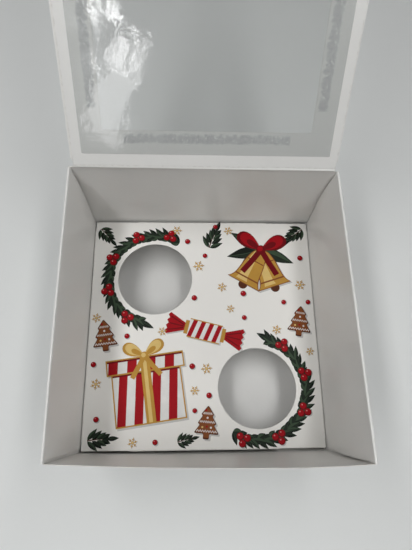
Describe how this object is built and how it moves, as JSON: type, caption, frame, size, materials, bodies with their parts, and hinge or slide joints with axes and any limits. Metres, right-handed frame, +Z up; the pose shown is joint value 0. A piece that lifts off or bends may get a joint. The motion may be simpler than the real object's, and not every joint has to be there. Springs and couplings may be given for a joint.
{
  "type": "cupcake box",
  "caption": "Square white carton box with double side walls, a hinged lid with a clear film window and a lift-out printed insert with round holes that hold cupcakes upright.",
  "frame": {"origin": "middle of the floor panel's underside, on the table", "axes": "+X to the right seen from the front, +Y from the front wall to the lid's hinge, +Z up"},
  "size_m": [0.2126, 0.3318, 0.2948],
  "materials": {
    "board": "white clay-coated carton board, semi-gloss",
    "printed_card": "white coated card, printed and varnished on top",
    "film": "clear glossy window film",
    "glue": "dried translucent adhesive"
  },
  "bodies": {
    "tray": {"floor_panel": "board", "front_wall": "board", "back_wall": "board", "left_outer_wall": "board", "right_outer_wall": "board", "left_inner_wall": "board", "right_inner_wall": "board", "left_top_spine": "board", "right_top_spine": "board", "front_left_ear": "board", "front_right_ear": "board", "back_left_ear": "board", "back_right_ear": "board"},
    "lid": {"lid_panel": "board", "window_film": "film", "glue_strip_hinge": "glue", "glue_strip_left": "glue", "glue_strip_right": "glue", "glue_strip_front": "glue"},
    "lid_front_flap": {"lid_front_flap": "board"},
    "lid_left_flap": {"lid_left_flap": "board"},
    "lid_right_flap": {"lid_right_flap": "board"},
    "insert": {"insert_deck": "printed_card"},
    "insert_front_leg": {"insert_front_leg": "printed_card"},
    "insert_back_leg": {"insert_back_leg": "printed_card"},
    "insert_left_leg": {"insert_left_leg": "printed_card"},
    "insert_right_leg": {"insert_right_leg": "printed_card"}
  },
  "joints": [
    {"name": "lid_hinge", "type": "hinge", "parent": "tray", "child": "lid", "pos_m": [0, 0.1009, 0.1264], "axis": [-1, 0, 0], "range_deg": [-130, 50]},
    {"name": "front_flap_crease", "type": "hinge", "parent": "lid", "child": "lid_front_flap", "pos_m": [0, 0.23004, 0.2803], "axis": [-1, 0, 0], "range_deg": [-50, 100]},
    {"name": "left_flap_crease", "type": "hinge", "parent": "lid", "child": "lid_left_flap", "pos_m": [-0.0986, 0.1009, 0.1264], "axis": [0, -0.6428, -0.766], "range_deg": [-174, 10]},
    {"name": "right_flap_crease", "type": "hinge", "parent": "lid", "child": "lid_right_flap", "pos_m": [0.0986, 0.1009, 0.1264], "axis": [0, 0.6428, 0.766], "range_deg": [-168, 16]},
    {"name": "insert_lift", "type": "slide", "parent": "tray", "child": "insert", "axis": [0, 0, 1], "range_m": [0, 0.14]},
    {"name": "front_leg_crease", "type": "hinge", "parent": "insert", "child": "insert_front_leg", "pos_m": [0, -0.10018, 0.03725], "axis": [1, 0, 0], "range_deg": [0, 80]},
    {"name": "back_leg_crease", "type": "hinge", "parent": "insert", "child": "insert_back_leg", "pos_m": [0, 0.09917, 0.03725], "axis": [-1, 0, 0], "range_deg": [0, 80]},
    {"name": "left_leg_crease", "type": "hinge", "parent": "insert", "child": "insert_left_leg", "pos_m": [-0.09857, 0, 0.03725], "axis": [0, -1, 0], "range_deg": [0, 80]},
    {"name": "right_leg_crease", "type": "hinge", "parent": "insert", "child": "insert_right_leg", "pos_m": [0.09857, 0, 0.03725], "axis": [0, 1, 0], "range_deg": [0, 80]}
  ]
}
